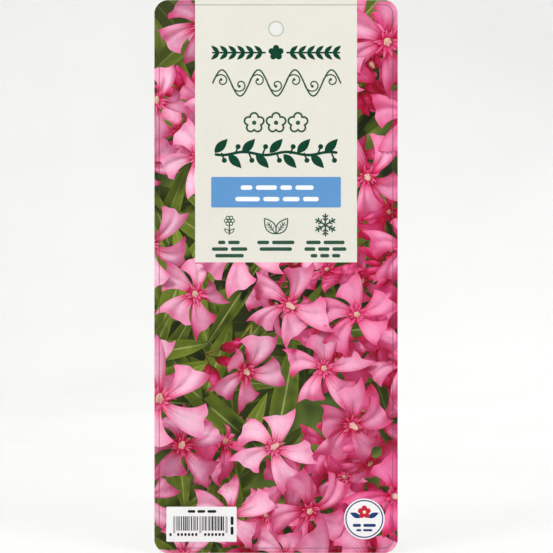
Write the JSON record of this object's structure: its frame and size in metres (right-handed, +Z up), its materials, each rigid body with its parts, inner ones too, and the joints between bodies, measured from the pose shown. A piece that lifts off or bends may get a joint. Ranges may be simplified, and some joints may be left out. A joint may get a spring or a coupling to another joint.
{
  "type": "plant hang label",
  "caption": "Thin printed plastic hang label for a garden shrub: rounded corners, a hang hole at the top, a pale header with a blue band, over a picture of pink blossom.",
  "frame": {"origin": "the middle of the hang hole, half way through the sheet", "axes": "+Z up along the label, -Y out of the printed face, +X to the right of someone who looks at that face"},
  "size_m": [0.11, 0.0009, 0.25],
  "materials": {
    "sheet_plastic": "white polypropylene with a fine matt grain, satin at the edges",
    "print_dark_green": "satin print, a dark leafy ground out of focus",
    "print_pink": "satin print, pink petals with fine veins",
    "print_magenta": "satin print, the magenta throats of the blossoms",
    "print_leaf_green": "satin print, leaves, stems and dark green ink",
    "print_cream": "satin print, pale cream",
    "print_blue": "satin print, light blue",
    "print_white": "satin print, white"
  },
  "bodies": {
    "root": {"badge_disc": "print_white", "barcode_patch": "print_white", "bloom_01": "print_pink", "bloom_02": "print_pink", "bloom_03": "print_pink", "bloom_04": "print_pink", "bloom_05": "print_pink", "bloom_06": "print_pink", "bloom_07": "print_pink", "bloom_08": "print_pink", "bloom_09": "print_pink", "bloom_10": "print_pink", "bloom_11": "print_pink", "bloom_12": "print_pink", "bloom_13": "print_pink", "bloom_14": "print_pink", "bloom_15": "print_pink", "bloom_16": "print_pink", "bloom_17": "print_pink", "bloom_18": "print_pink", "bloom_19": "print_pink", "bloom_20": "print_pink", "bloom_21": "print_pink", "bloom_22": "print_pink", "bloom_23": "print_pink", "bloom_24": "print_pink", "bloom_25": "print_pink", "bloom_26": "print_pink", "bloom_27": "print_pink", "eye_02": "print_magenta", "eye_08": "print_magenta", "eye_12": "print_magenta", "eye_13": "print_magenta", "eye_14": "print_magenta", "eye_15": "print_magenta", "eye_16": "print_magenta", "eye_19": "print_magenta", "eye_20": "print_magenta", "eye_23": "print_magenta", "header_panel": "print_cream", "label_sheet": "sheet_plastic", "leaf_01": "print_leaf_green", "leaf_02": "print_leaf_green", "leaf_03": "print_leaf_green", "leaf_04": "print_leaf_green", "leaf_05": "print_leaf_green", "leaf_06": "print_leaf_green", "name_band": "print_blue", "picture_film": "print_dark_green"}
  },
  "joints": []
}
